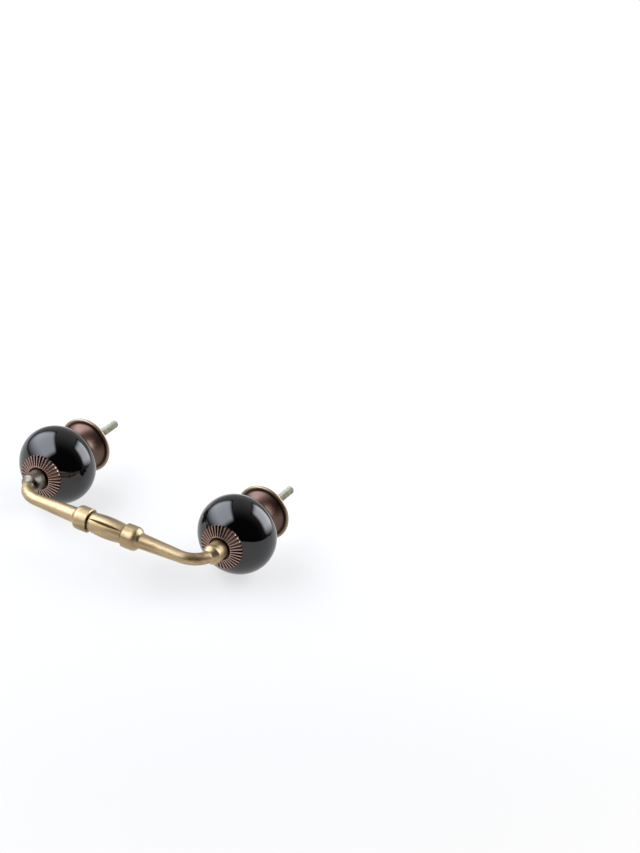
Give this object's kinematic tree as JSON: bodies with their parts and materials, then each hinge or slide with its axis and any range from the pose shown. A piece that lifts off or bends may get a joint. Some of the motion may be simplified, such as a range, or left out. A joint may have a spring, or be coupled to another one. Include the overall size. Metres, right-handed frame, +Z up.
{
  "type": "bridge handle",
  "caption": "Bridge pull for a drawer or door: antique brass bar with collared, grooved barrel, on black glazed ceramic balls with fluted rosettes, trumpet bases and threaded studs.",
  "frame": {"origin": "midway between the two studs, on the plane where the base rims meet the cabinet face", "axes": "+X along the bar, +Y into the cabinet along the studs, +Z up when the handle is mounted level"},
  "size_m": [0.141, 0.0917, 0.0394],
  "materials": {
    "antique_brass": "satin, browned antique plating rubbed back to brass",
    "black_glaze": "high gloss black glaze",
    "dark_copper": "pressed sheet, dark copper-brown plating, rubbed on the high edges",
    "zinc_steel": "bright zinc plating with a pale yellow tint"
  },
  "bodies": {
    "root": {"grip_bar": "antique_brass", "left_rosette": "dark_copper", "right_rosette": "dark_copper", "left_ball": "black_glaze", "right_ball": "black_glaze", "left_base": "dark_copper", "right_base": "dark_copper", "left_stud": "zinc_steel", "right_stud": "zinc_steel", "left_lock_nut": "zinc_steel", "right_lock_nut": "zinc_steel"}
  },
  "joints": []
}
